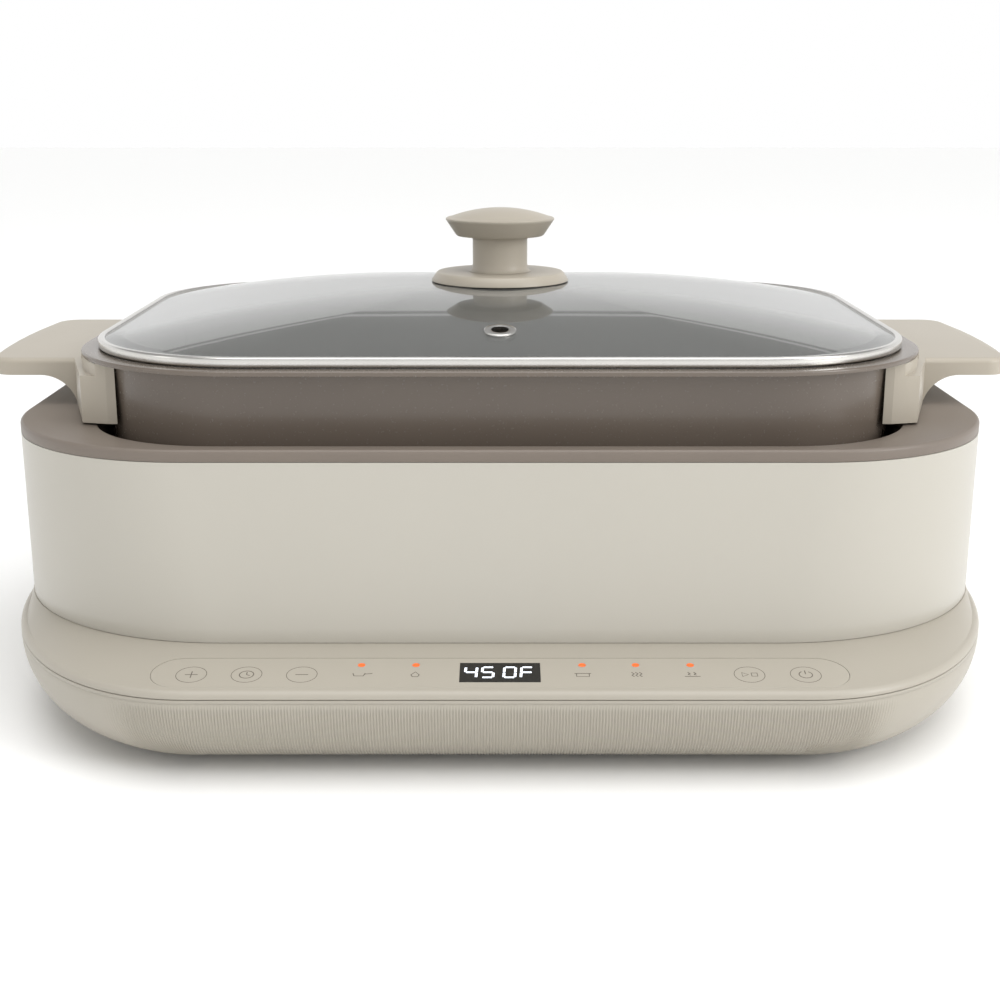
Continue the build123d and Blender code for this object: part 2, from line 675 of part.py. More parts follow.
def pan_handle(side):
    """A moulded handle: a grip plate, a coved gusset under it, and a leg that hugs the pan."""
    front, back = well_y - grip_half_y, well_y + grip_half_y
    tip = grip_reach - 4.2
    with BuildPart(mode=Mode.PRIVATE) as ridge:
        extrude(rounded(pan_rim_plan, grip_top - 2, 3.2), amount=6.5)
        with Locations((side * 210, well_y, grip_top)):
            Box(80, 2 * grip_half_y, 20, mode=Mode.INTERSECT)
    with BuildPart(mode=Mode.PRIVATE) as leg_head:
        extrude(leg_outline(grip_top - 1), amount=pan_rim_under - 0.1 - grip_top + 1)
        extrude(rounded(pan_rim_plan, grip_top - 2, -0.3), amount=20, mode=Mode.INTERSECT)
    with BuildPart() as handle:
        with BuildSketch(Plane.XY.offset(grip_under)) as grip_plan:
            with BuildLine():
                Line((side * 186, front), (side * tip, front))
                ThreePointArc((side * tip, front), (side * grip_reach, well_y), (side * tip, back))
                Line((side * tip, back), (side * 186, back))
                Line((side * 186, back), (side * 186, front))
            make_face()
            fillet(grip_plan.vertices().filter_by(lambda v: abs(v.X) > 200), 12)
        extrude(amount=grip_top - grip_under)
        fillet(handle.faces().sort_by(Axis.Z)[-1].edges().filter_by(lambda e: abs(e.center().X) > 187), 2.4)
        extrude(leg_outline(leg_bottom), amount=grip_top - leg_bottom)
        add(ridge.part)
        add(leg_head.part)
        # the cove between the leg and the underside of the grip
        with BuildSketch(Plane((0, well_y, 0), x_dir=(side, 0, 0), z_dir=(0, -side, 0))):
            cove_x, cove_z = leg_x + gusset_r - 0.5, grip_under - gusset_r
            with BuildLine():
                cove = CenterArc((cove_x, cove_z), gusset_r, 90, 75)
                Polyline(cove @ 1, (186, (cove @ 1).Y), (186, grip_under + 1), (cove_x, grip_under + 1),
                         cove @ 0)
            make_face()
        extrude(amount=grip_half_y, both=True)
        # room for the pan's wall and rim, and nothing on the other side
        extrude(rounded(pan_top_plan, 100, 1.0), amount=100, mode=Mode.SUBTRACT)
        extrude(rounded(pan_rim_plan, pan_rim_under - 0.1, 0.6), amount=10, mode=Mode.SUBTRACT)
        with Locations((-side * 200, well_y, 140)):
            Box(400, 400, 200, mode=Mode.SUBTRACT)
        for sy in (-1, 1):
            with BuildSketch(sideways(side, 170, well_y + sy * screw_offset_y, handle_screw_z)):
                Circle(2.1)
            extrude(amount=60, mode=Mode.SUBTRACT)
            with BuildSketch(sideways(side, screw_seat_x, well_y + sy * screw_offset_y, handle_screw_z)):
                Circle(4.4)
            extrude(amount=60, mode=Mode.SUBTRACT)
    return handle


pieces["left_handle"] = pan_handle(-1)
pieces["right_handle"] = pan_handle(1)

with BuildPart() as handle_screws:
    for side, y in handle_screw_at:
        with BuildSketch(sideways(side, 178.8, y, handle_screw_z)):
            Circle(1.85)
        extrude(amount=screw_seat_x - 178.8 + 0.2)
        with BuildSketch(sideways(side, screw_seat_x + 0.1, y, handle_screw_z)):
            Circle(3.9)
        extrude(amount=3)
pieces["handle_screws"] = handle_screws

# ---- lid ----
with BuildPart() as lid_rim:
    extrude(rounded(lid_plan, lid_rim_bottom), amount=lid_rim_top - lid_rim_bottom)
    flat_faces = lid_rim.faces().sort_by(Axis.Z)
    fillet(flat_faces[0].edges() + flat_faces[-1].edges(), 0.7)
    extrude(rounded(lid_plan, lid_rim_bottom + 0.8, -0.8), amount=3.0, mode=Mode.SUBTRACT)
    extrude(rounded(lid_plan, lid_rim_bottom + 0.8, -3.2), amount=5.0, mode=Mode.SUBTRACT)
    extrude(rounded(pan_top_plan, 156.5, -4.6), amount=lid_rim_bottom - 156.5 + 0.8)
    extrude(rounded(pan_top_plan, 156.0, -5.6), amount=20, mode=Mode.SUBTRACT)
pieces["lid_rim"] = lid_rim


def dome_height(share):
    """Height of the glass's upper face where its outline has shrunk to this share of the edge's."""
    return dome_base + dome_rise * (1 - share ** dome_power)


def dome(drop):
    """A solid pillow under the glass's upper face, moved down by drop."""
    sections = [rounded([share * length for length in glass_plan], dome_height(share) - drop)
                for share in dome_shares]
    with BuildPart(mode=Mode.PRIVATE) as solid:
        loft(sections)
    return solid.part


glass_plan = (181.0, 133.0, 71.0)
dome_shares = (1.0, 0.92, 0.8, 0.62, 0.42, 0.22)
crown = dome_height(dome_shares[-1])
vent_share = abs(vent_y - well_y) / glass_plan[1]
vent_slope = dome_rise * dome_power * vent_share ** (dome_power - 1) / glass_plan[1]
vent_tilt = atan2(vent_slope, 1)
vent_plane = Plane((0, vent_y, dome_height(vent_share)), x_dir=(1, 0, 0),
                   z_dir=(0, -sin(vent_tilt), cos(vent_tilt)))
dome_top = dome(0)
dome_under = dome(glass_t)

with BuildPart() as lid_glass:
    extrude(rounded(lid_plan, lid_rim_bottom + 0.9, -1.0), amount=dome_base - lid_rim_bottom - 0.9)
    add(dome_top)
    add(dome_under, mode=Mode.SUBTRACT)
    with Locations((0, well_y, 180)):
        Cylinder(4.4, 20, mode=Mode.SUBTRACT)
    with BuildSketch(vent_plane.offset(-10)):
        Circle(5.5)
    extrude(amount=20, mode=Mode.SUBTRACT)
pieces["lid_glass"] = lid_glass

with BuildPart() as vent_grommet:
    with BuildSketch(vent_plane.offset(0.15)):
        Circle(7.2)
    extrude(amount=0.9)
    fillet(vent_grommet.edges().sort_by(Axis.Z)[-1], 0.5)
    with BuildSketch(vent_plane.offset(-glass_t - 1.0)):
        Circle(5.3)
    extrude(amount=glass_t + 1.5)
    with BuildSketch(vent_plane.offset(-glass_t - 1.1)):
        Circle(7.0)
    extrude(amount=0.8)
    with BuildSketch(vent_plane.offset(-10)):
        Circle(3.9)
    extrude(amount=20, mode=Mode.SUBTRACT)
pieces["vent_grommet"] = vent_grommet

with BuildPart() as knob_base:
    with BuildSketch(Plane((0, well_y, 0), x_dir=(1, 0, 0), z_dir=(0, -1, 0))):
        with BuildLine():
            Polyline((2.6, knob_base_z + 0.5), (30, knob_base_z + 0.5), (31, knob_base_z),
                     (34.4, knob_base_z), (31.6, knob_stem_z - 0.1), (2.6, knob_stem_z - 0.1), close=True)
        make_face()
    revolve(axis=Axis((0, well_y, 0), (0, 0, 1)))
pieces["knob_base"] = knob_base

# the cap's top is part of a sphere with its middle on the axis
cap_rise = knob_top_z - knob_edge_z - 0.2
cap_ball_r = (knob_edge_r ** 2 + cap_rise ** 2) / (2 * cap_rise)
cap_mid_r = knob_edge_r / 2
cap_mid_z = knob_top_z - cap_ball_r + sqrt(cap_ball_r ** 2 - cap_mid_r ** 2)

with BuildPart() as knob:
    with BuildSketch(Plane((0, well_y, 0), x_dir=(1, 0, 0), z_dir=(0, -1, 0))):
        with BuildLine():
            Polyline((2.1, 200), (2.1, knob_stem_z), (13.7, knob_stem_z), (13.7, knob_cap_z),
                     (21.8, knob_cap_z), (knob_edge_r, knob_edge_z - 0.6),
                     (knob_edge_r, knob_edge_z + 0.2))
            ThreePointArc((knob_edge_r, knob_edge_z + 0.2), (cap_mid_r, cap_mid_z), (0, knob_top_z))
            Polyline((0, knob_top_z), (0, 200), (2.1, 200))
        make_face()
    revolve(axis=Axis((0, well_y, 0), (0, 0, 1)))
pieces["knob"] = knob

glass_under = crown - glass_t
with BuildPart() as knob_washer:
    with Locations((0, well_y, glass_under - 1.6)):
        Cylinder(9, 1.5, align=(Align.CENTER, Align.CENTER, Align.MIN))
        Cylinder(2.1, 1.5, align=(Align.CENTER, Align.CENTER, Align.MIN), mode=Mode.SUBTRACT)
pieces["knob_washer"] = knob_washer

with BuildPart() as knob_screw:
    with Locations((0, well_y, glass_under - 4.2)):
        Cylinder(4.2, 2.5, align=(Align.CENTER, Align.CENTER, Align.MIN))
    fillet(knob_screw.faces().sort_by(Axis.Z)[0].edges(), 0.8)
    with Locations((0, well_y, glass_under - 2)):
        Cylinder(2.0, 198.5 - glass_under + 2, align=(Align.CENTER, Align.CENTER, Align.MIN))
pieces["knob_screw"] = knob_screw

for name, piece in pieces.items():
    piece.part.label = name
    export_step(piece.part, f"parts/{name}.step")
print(len(pieces), "pieces written")
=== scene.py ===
import math
import bmesh
import bpy
import numpy as np
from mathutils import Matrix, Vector


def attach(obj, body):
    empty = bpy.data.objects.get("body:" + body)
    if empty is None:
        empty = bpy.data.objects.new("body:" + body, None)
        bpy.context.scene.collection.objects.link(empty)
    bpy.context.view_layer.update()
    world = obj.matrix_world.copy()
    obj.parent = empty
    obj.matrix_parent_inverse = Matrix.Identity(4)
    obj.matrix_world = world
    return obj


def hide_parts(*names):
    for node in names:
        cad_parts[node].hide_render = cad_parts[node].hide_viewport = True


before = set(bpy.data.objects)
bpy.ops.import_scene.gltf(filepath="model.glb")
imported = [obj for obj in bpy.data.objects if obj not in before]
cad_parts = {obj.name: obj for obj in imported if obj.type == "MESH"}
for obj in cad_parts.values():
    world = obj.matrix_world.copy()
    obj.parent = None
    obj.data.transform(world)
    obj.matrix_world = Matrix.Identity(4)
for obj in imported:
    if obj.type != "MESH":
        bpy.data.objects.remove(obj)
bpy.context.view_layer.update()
mm = 0.001
wellY = 18.0  # centre of the housing, pan, lid and knob, from the middle of the base
print("frame loaded")


def linearColour(text):
    # sRGB hex to linear: each channel over 12.92 when dark, else the 2.4 power curve
    parts = [int(text[i:i + 2], 16) / 255 for i in (1, 3, 5)]
    return [c / 12.92 if c <= 0.04045 else ((c + 0.055) / 1.055) ** 2.4 for c in parts] + [1.0]


def addNode(tree, kind, settings=None, links=None):
    node = tree.nodes.new(kind)
    for key, value in (settings or {}).items():
        if isinstance(key, int) or key in node.inputs:
            node.inputs[key].default_value = value
        else:
            setattr(node, key, value)
    for socket, (source, output) in (links or {}).items():
        tree.links.new(source.outputs[output], node.inputs[socket])
    return node


def newMaterial(name):
    material = bpy.data.materials.new(name)
    material.use_nodes = True
    material.node_tree.nodes.clear()
    return material, material.node_tree


def surfaceFinish(name, values):
    # colour wanders between two close tones on a broad noise, a finer noise varies the gloss,
    # and a grain of the stated size in mm tilts the surface; stretch draws the grain out
    material, tree = newMaterial(name)
    place = addNode(tree, "ShaderNodeTexCoord")
    stretch = addNode(tree, "ShaderNodeMapping", {"Scale": values.get("stretch", (1, 1, 1))},
                      {"Vector": (place, "Object")})
    broad = addNode(tree, "ShaderNodeTexNoise", {"Scale": 1 / (values["wander"] * mm), "Detail": 3.0},
                    {"Vector": (place, "Object")})
    tones = addNode(tree, "ShaderNodeMix", {"data_type": "RGBA"}, {"Factor": (broad, "Fac")})
    tones.inputs[6].default_value = linearColour(values["colour"])
    tones.inputs[7].default_value = linearColour(values["second"])
    grain = addNode(tree, "ShaderNodeTexNoise", {"Scale": 1 / (values["grain"] * mm), "Detail": 2.0},
                    {"Vector": (stretch, "Vector")})
    low, high = values["roughness"]
    gloss = addNode(tree, "ShaderNodeMapRange", {"To Min": low, "To Max": high}, {"Value": (grain, "Fac")})
    relief = addNode(tree, "ShaderNodeBump",
                     {"Strength": values.get("relief", 0.3), "Distance": values["depth"] * mm},
                     {"Height": (grain, "Fac")})
    shader = addNode(tree, "ShaderNodeBsdfPrincipled",
                     {"Metallic": values.get("metallic", 0.0), "IOR": values.get("ior", 1.5),
                      "Coat Weight": values.get("coat", 0.0), "Coat Roughness": values.get("coatRoughness", 0.1)},
                     {"Base Color": (tones, 2), "Roughness": (gloss, "Result"), "Normal": (relief, "Normal")})
    addNode(tree, "ShaderNodeOutputMaterial", None, {"Surface": (shader, "BSDF")})
    return material


def litFinish(name, values):
    # a plastic that glows evenly from behind, a little mottled
    material, tree = newMaterial(name)
    place = addNode(tree, "ShaderNodeTexCoord")
    mottle = addNode(tree, "ShaderNodeTexNoise", {"Scale": 1 / (values["wander"] * mm)},
                     {"Vector": (place, "Object")})
    tones = addNode(tree, "ShaderNodeMix", {"data_type": "RGBA"}, {"Factor": (mottle, "Fac")})
    tones.inputs[6].default_value = linearColour(values["colour"])
    tones.inputs[7].default_value = linearColour(values["second"])
    shader = addNode(tree, "ShaderNodeBsdfPrincipled",
                     {"Roughness": 0.35, "Emission Strength": values["glow"]},
                     {"Base Color": (tones, 2), "Emission Color": (tones, 2)})
    addNode(tree, "ShaderNodeOutputMaterial", None, {"Surface": (shader, "BSDF")})
    return material


def glassFinish(name, values):
    # tempered soda-lime glass: clear with a grey tint, faintly rippled by the roller and the quench
    material, tree = newMaterial(name)
    place = addNode(tree, "ShaderNodeTexCoord")
    ripple = addNode(tree, "ShaderNodeTexNoise", {"Scale": 1 / (values["ripple"] * mm), "Detail": 1.0},
                     {"Vector": (place, "Object")})
    relief = addNode(tree, "ShaderNodeBump", {"Strength": 0.04, "Distance": 0.01 * mm}, {"Height": (ripple, "Fac")})
    tones = addNode(tree, "ShaderNodeMix", {"data_type": "RGBA"}, {"Factor": (ripple, "Fac")})
    tones.inputs[6].default_value = linearColour(values["colour"])
    tones.inputs[7].default_value = linearColour(values["second"])
    shader = addNode(tree, "ShaderNodeBsdfPrincipled",
                     {"Roughness": values["roughness"], "IOR": 1.5, "Transmission Weight": values["clear"]},
                     {"Base Color": (tones, 2), "Normal": (relief, "Normal")})
    addNode(tree, "ShaderNodeOutputMaterial", None, {"Surface": (shader, "BSDF")})
    return material


finishes = {
    # ABS, injection moulded in a finely eroded tool: satin, with soft broad highlights
    "greigeAbs": {"colour": "#aba599", "second": "#a7a195", "wander": 60, "roughness": (0.34, 0.42),
                  "grain": 0.35, "depth": 0.02},
    # pressed steel under a satin stoved enamel: smoother than the mouldings, with a faint orange peel
    "greigeEnamel": {"colour": "#bab6ac", "second": "#b7b3a9", "wander": 90, "roughness": (0.30, 0.36),
                     "grain": 1.6, "depth": 0.02, "relief": 0.15},
    # glass-filled nylon, moulded and satin: deep taupe, takes the heat at the well's mouth
    "taupeNylon": {"colour": "#786e64", "second": "#736960", "wander": 50, "roughness": (0.38, 0.46),
                   "grain": 0.35, "depth": 0.02},
    # phenolic plastic, moulded: dense and satin, a little warmer than the housing
    "warmPhenolic": {"colour": "#aea698", "second": "#a9a193", "wander": 40, "roughness": (0.36, 0.44),
                     "grain": 0.3, "depth": 0.02},
    # die-cast aluminium under a ceramic non-stick coating: glossy, slightly pebbled by the spray
    "taupeCeramic": {"colour": "#6b6157", "second": "#665c53", "wander": 70, "roughness": (0.22, 0.30),
                     "grain": 1.2, "depth": 0.006, "relief": 0.08, "coat": 0.15},
    # polyester film with a satin hard coat, screen printed from behind
    "panelFilm": {"colour": "#aca69a", "second": "#a9a397", "wander": 30, "roughness": (0.26, 0.32),
                  "grain": 0.2, "depth": 0.01, "relief": 0.15},
    # screen ink under the film: flat and even
    "greyInk": {"colour": "#5e574e", "second": "#5a534b", "wander": 8, "roughness": (0.45, 0.5),
                "grain": 0.15, "depth": 0.005},
    # smoked acrylic over the display: near black, polished
    "smokedAcrylic": {"colour": "#070708", "second": "#09090b", "wander": 12, "roughness": (0.05, 0.09),
                      "grain": 3.0, "depth": 0.005, "relief": 0.1},
    # stainless strip, rolled and polished round the lid's edge: fine lines along its length
    "polishedSteel": {"colour": "#d8d6d2", "second": "#cfcdc9", "wander": 25, "roughness": (0.16, 0.26),
                      "grain": 0.5, "depth": 0.01, "relief": 0.2, "metallic": 1.0, "stretch": (1, 1, 9)},
    # zinc-plated steel: dull silver, slightly cloudy
    "zincPlate": {"colour": "#b9b9b6", "second": "#a9aaa9", "wander": 3, "roughness": (0.28, 0.4),
                  "grain": 0.4, "depth": 0.02, "metallic": 1.0},
    # drawn spring wire: darker steel with lines left by the die
    "springWire": {"colour": "#8f8f8d", "second": "#7f7f7e", "wander": 2, "roughness": (0.25, 0.35),
                   "grain": 0.2, "depth": 0.01, "metallic": 1.0},
    # aluminised steel sheet: spangled and dull, with rolling lines
    "aluminisedSheet": {"colour": "#c3c3bf", "second": "#adaeab", "wander": 14, "roughness": (0.3, 0.45),
                        "grain": 0.6, "depth": 0.02, "metallic": 1.0, "stretch": (8, 1, 1)},
    # sand-cast aluminium: grey and pebbly
    "castAluminium": {"colour": "#a3a3a0", "second": "#8f908e", "wander": 9, "roughness": (0.42, 0.58),
                      "grain": 0.7, "depth": 0.08, "relief": 0.5, "metallic": 1.0},
    # annealed element sheath: brown-grey oxide over steel
    "annealedSheath": {"colour": "#6d6259", "second": "#554c46", "wander": 6, "roughness": (0.4, 0.55),
                       "grain": 0.4, "depth": 0.03, "metallic": 0.8},
    # steatite body of the thermal fuse: off-white, lightly glazed
    "steatite": {"colour": "#e4dfd2", "second": "#d9d3c5", "wander": 4, "roughness": (0.25, 0.35),
                 "grain": 0.5, "depth": 0.01},
    # nitrile rubber: black and dull with a dusty bloom
    "blackRubber": {"colour": "#1c1c1b", "second": "#242423", "wander": 6, "roughness": (0.6, 0.75),
                    "grain": 0.4, "depth": 0.04},
    # silicone: milky grey and waxy
    "greySilicone": {"colour": "#b5b3ac", "second": "#aaa8a1", "wander": 5, "roughness": (0.4, 0.5),
                     "grain": 0.4, "depth": 0.01},
    # woven glass laminate under green solder mask
    "solderMask": {"colour": "#1f5a38", "second": "#174a2d", "wander": 4, "roughness": (0.22, 0.34),
                   "grain": 0.5, "depth": 0.02},
    # black component mouldings
    "blackEpoxy": {"colour": "#191918", "second": "#212120", "wander": 3, "roughness": (0.45, 0.55),
                   "grain": 0.3, "depth": 0.02},
    # varnished polyester tape round the windings
    "yellowTape": {"colour": "#c79a2b", "second": "#b98c22", "wander": 3, "roughness": (0.3, 0.4),
                   "grain": 0.8, "depth": 0.03, "stretch": (1, 1, 6)},
    # blue polyester case of the relay
    "blueCase": {"colour": "#2c4f93", "second": "#264684", "wander": 5, "roughness": (0.25, 0.32),
                 "grain": 0.5, "depth": 0.01},
    # ochre epoxy over the capacitor
    "ochreEpoxy": {"colour": "#b5852f", "second": "#a87a29", "wander": 4, "roughness": (0.22, 0.3),
                   "grain": 0.8, "depth": 0.02},
    # unfilled nylon: ivory and satin
    "ivoryNylon": {"colour": "#ddd9cd", "second": "#d3cfc3", "wander": 6, "roughness": (0.38, 0.46),
                   "grain": 0.3, "depth": 0.02},
    # PVC flat cable: grey with one ridge for each 1.27 mm conductor
    "ribbonPvc": {"colour": "#8d8f92", "second": "#85878a", "wander": 5, "roughness": (0.4, 0.5),
                  "grain": 1.27, "depth": 0.1, "relief": 0.5, "stretch": (1, 0.05, 0.05)},
}
finish = {name: surfaceFinish(name, values) for name, values in finishes.items()}
# amber acrylic light pipes, lit by the board's lamps
finish["amberLight"] = litFinish("amberLight", {"colour": "#e0662a", "second": "#d65c22", "wander": 1.5, "glow": 0.5})
# white segments of the display, seen through the smoked window
finish["litSegment"] = litFinish("litSegment", {"colour": "#f4f8ff", "second": "#e6eefc", "wander": 2, "glow": 1.1})
finish["greyGlass"] = glassFinish("greyGlass", {"colour": "#bcbdba", "second": "#b6b7b4", "ripple": 30,
                                                "roughness": 0.03, "clear": 0.82})
print("materials made")


# shapes are drawn in millimetres as rows of points, then joined with four-sided faces
def outline(plan, samples):
    # walks half of a plan from the middle of its front: equal steps in x as far as reach, then the rest
    # of the quarter-ellipse corner by angle, the side, the back corner and half the back; then mirrors it
    x, y, (rx, ry), rb = plan["halfX"], plan["halfY"], plan["front"], plan["back"]
    across = np.linspace(0, samples["reach"], samples["front"], endpoint=False)
    phi = np.arcsin(np.clip((across - (x - rx)) / rx, 0, 1))
    rest = np.linspace(math.asin(min(max((samples["reach"] - (x - rx)) / rx, 0), 1)), math.pi / 2,
                       samples["corner"], endpoint=False)
    head = np.concatenate([phi, rest])
    pointX = np.concatenate([across, x - rx + rx * np.sin(rest)])
    front = np.stack([pointX, ry - y - ry * np.cos(head)], 1)
    frontOut = np.stack([np.sin(head) / rx, -np.cos(head) / ry], 1)
    side = np.stack([np.full(samples["side"], x),
                     np.linspace(ry - y, y - rb, samples["side"], endpoint=False)], 1)
    turn = np.linspace(0, math.pi / 2, samples["corner"], endpoint=False)
    backTurn = np.stack([x - rb + rb * np.cos(turn), y - rb + rb * np.sin(turn)], 1)
    back = np.stack([np.linspace(x - rb, 0, samples["rear"]), np.full(samples["rear"], y)], 1)
    half = np.concatenate([front, side, backTurn, back])
    out = np.concatenate([frontOut, np.tile([1.0, 0.0], (len(side), 1)),
                          np.stack([np.cos(turn), np.sin(turn)], 1), np.tile([0.0, 1.0], (len(back), 1))])
    other, otherOut = half[1:-1][::-1] * [-1, 1], out[1:-1][::-1] * [-1, 1]
    points = np.concatenate([half, other]) + [0, plan["middleY"]]
    out = np.concatenate([out, otherOut])
    return points, out / np.linalg.norm(out, axis=1, keepdims=True)


def rowsOf(plan, profile, samples):
    # carries a profile of (out, z) pairs round a plan: each row is the plan moved out along its normals
    points, out = outline(plan, samples)
    steps = np.array(profile, float)
    flat = points[None] + out[None] * steps[:, 0, None, None]
    return np.concatenate([flat, np.broadcast_to(steps[:, 1, None, None], flat.shape[:2] + (1,))], 2)


def between(first, last, shares):
    # straight lines from each point of one row to the same point of the next, cut at the given shares
    shares = np.array(shares, float)[:, None, None]
    return first[None] * (1 - shares) + last[None] * shares


def toMiddle(row, middle, shares):
    # draws a row in towards one point
    shares = np.array(shares, float)[:, None, None]
    return np.array(middle, float) * (1 - shares) + row[None] * shares


def arc(centre, radius, start, end, steps):
    # points of a circle's arc, in degrees
    angle = np.radians(np.linspace(start, end, steps))
    return [(centre[0] + radius * math.cos(a), centre[1] + radius * math.sin(a)) for a in angle]


def gridFaces(rows, columns, closeRows=False):
    # four-sided faces of a grid whose columns close on themselves, and its rows too when asked
    r = np.arange(rows if closeRows else rows - 1)[:, None]
    c = np.arange(columns)[None]
    up, right = (r + 1) % rows, (c + 1) % columns
    return np.stack([r * columns + c, r * columns + right, up * columns + right, up * columns + c], 2).reshape(-1, 4)


def makePiece(name, points, faces, material, angle=32):
    # millimetres in, metres out; doubles merged, faces turned outwards, edges over the angle kept sharp
    mesh = bpy.data.meshes.new(name)
    mesh.from_pydata((np.array(points, float).reshape(-1, 3) * mm).tolist(), [], np.array(faces).tolist())
    work = bmesh.new()
    work.from_mesh(mesh)
    bmesh.ops.remove_doubles(work, verts=work.verts, dist=2e-7)
    bmesh.ops.dissolve_degenerate(work, edges=work.edges, dist=1e-7)
    bmesh.ops.recalc_face_normals(work, faces=work.faces)
    work.to_mesh(mesh)
    work.free()
    mesh.shade_smooth()
    mesh.set_sharp_from_angle(angle=math.radians(angle))
    mesh.materials.append(finish[material])
    piece = bpy.data.objects.new(name, mesh)
    bpy.context.scene.collection.objects.link(piece)
    return piece


def shellPiece(name, rows, material, closeRows=True, angle=32):
    rows = np.concatenate([np.atleast_3d(r) if r.ndim == 3 else r[None] for r in rows])
    return makePiece(name, rows, gridFaces(rows.shape[0], rows.shape[1], closeRows), material, angle)


def spinRows(profile, middle, tilt=0.0, steps=96):
    # turns a profile of (radius, height) pairs about an axis that leans towards the front by tilt
    turn = np.linspace(0, 2 * math.pi, steps, endpoint=False)
    r, h = np.array(profile, float).T
    x = r[:, None] * np.cos(turn)
    y = r[:, None] * np.sin(turn)
    z = np.broadcast_to(h[:, None], x.shape)
    leant = np.stack([x, y * math.cos(tilt) - z * math.sin(tilt), y * math.sin(tilt) + z * math.cos(tilt)], 2)
    return leant + np.array(middle, float)


def cutAway(piece, cutters, angle=32):
    # takes the cutters' solids out of a piece and leaves a plain mesh
    for cutter in cutters:
        change = piece.modifiers.new("cut", "BOOLEAN")
        change.operation, change.solver, change.object = "DIFFERENCE", "EXACT", cutter
    bpy.context.view_layer.update()
    done = bpy.data.meshes.new_from_object(piece.evaluated_get(bpy.context.evaluated_depsgraph_get()))
    piece.modifiers.clear()
    material = piece.data.materials[0]
    piece.data = done
    done.materials.clear()
    done.materials.append(material)
    done.shade_smooth()
    done.set_sharp_from_angle(angle=math.radians(angle))
    for cutter in cutters:
        bpy.data.objects.remove(cutter)


def joinAll(name, parts, material, angle=32):
    # several (points, faces) lists in one mesh
    starts = np.cumsum([0] + [len(p) for p, f in parts])
    points = np.concatenate([p for p, f in parts])
    faces = [face for (p, f), start in zip(parts, starts) for face in (np.array(f) + start).tolist()]
    return makePiece(name, points, faces, material, angle)


def settle(piece, body, slotName, *nodes):
    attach(piece, body)
    if nodes:
        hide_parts(*nodes)


def plan(halfX, halfY, corner, middleY=wellY):
    front = corner if isinstance(corner, tuple) else (corner, corner)
    back = 110.0 if isinstance(corner, tuple) else corner
    return {"halfX": halfX, "halfY": halfY, "front": front, "back": back, "middleY": middleY}


basePlan = plan(228.0, 186.0, (102.0, 155.0), 0.0)
wallLow, wallHigh = plan(223.7, 163.1, 105.0), plan(220.3, 159.7, 87.0)
coarse = {"reach": 150.0, "front": 61, "corner": 40, "side": 10, "rear": 10}
fine = {"reach": 60.0, "front": 16, "corner": 40, "side": 12, "rear": 12}

# the lower shell, with a fine vertical rib round its front
tub = {"bowlR": 33.0, "wall": 2.6, "floorZ": 3.0, "topZ": 38.0, "ribPitch": 1.23, "ribDepth": 0.55,
       "ribReach": 163.0, "ribFade": 14.0}
ribSamples = {"reach": 165.0, "front": 806, "corner": 30, "side": 8, "rear": 8}
bowl = np.radians(np.linspace(1.0, 90, 24))
bowlProfile = [(-tub["bowlR"] * (1 - math.cos(a)), tub["floorZ"] + tub["bowlR"] * (1 - math.sin(a))) for a in bowl]
outside = rowsOf(basePlan, [(-2.3, 38.0), (-0.4, 38.0), (-0.1, 37.9), (0, 37.6), (0, 36.5), (-0.3, 36.4),
                            (-0.3, 36.15)] + bowlProfile, ribSamples)
points, outward = outline(basePlan, ribSamples)
# ribs: a raised cosine across x, let in along the outline's normal and faded at both ends and underneath
fadeX = np.clip((tub["ribReach"] - np.abs(points[:, 0])) / tub["ribFade"], 0, 1) * (points[:, 1] < 0)
fadeZ = np.clip((math.radians(86) - bowl) / math.radians(10), 0, 1) * np.clip((bowl - math.radians(1.5)) / 0.02, 0, 1)
wave = 0.5 - 0.5 * np.cos(2 * math.pi * points[:, 0] / tub["ribPitch"])
letIn = tub["ribDepth"] * wave * fadeX
outside[-24:, :, 0] -= (fadeZ * np.cos(bowl))[:, None] * letIn * outward[:, 0]
outside[-24:, :, 1] -= (fadeZ * np.cos(bowl))[:, None] * letIn * outward[:, 1]
outside[-24:, :, 2] += (fadeZ * np.sin(bowl))[:, None] * letIn
innerBowl = np.radians(np.linspace(90, 0, 7))
inner = [(-2.6 - 30.4 * (1 - math.cos(a)), 5.6 + 30.4 * (1 - math.sin(a))) for a in innerBowl]
inside = rowsOf(basePlan, inner + [(-2.6, 37.7)], ribSamples)
under = toMiddle(outside[-1], (0, 0, 3.0), (0.7, 0.35, 0.0))
floor = toMiddle(inside[0], (0, 0, 5.6), (0.0, 0.5))
tubPiece = shellPiece("tub", [outside, under, floor, inside], "greigeAbs", angle=72)
# openings: the cord recess at the back, the air slots, the screw wells and the feet's stems
cuts = []
recess = [(x, y, z) for z in (0.0, 60.0) for x, y in ((50, 173), (90, 173), (90, 195), (50, 195))]
recessFaces = [(3, 2, 1, 0), (4, 5, 6, 7), (0, 1, 5, 4), (1, 2, 6, 5), (2, 3, 7, 6), (3, 0, 4, 7)]
cuts.append(makePiece("recessCut", recess, recessFaces, "greigeAbs"))
slotParts = []
turn = np.linspace(0, 2 * math.pi, 16, endpoint=False)
for x in np.linspace(-42, 42, 7):
    for y in (-60, -10):
        ring = np.stack([x + 1.6 * np.cos(turn), y + 1.6 * np.sin(turn) + 15.4 * np.sign(np.sin(turn + 0.01))], 1)
        prism = np.concatenate([np.column_stack([ring, np.full(16, z)]) for z in (1.0, 8.0)])
        caps = [list(range(15, -1, -1)), list(range(16, 32))]
        slotParts.append((prism, gridFaces(2, 16).tolist() + caps))
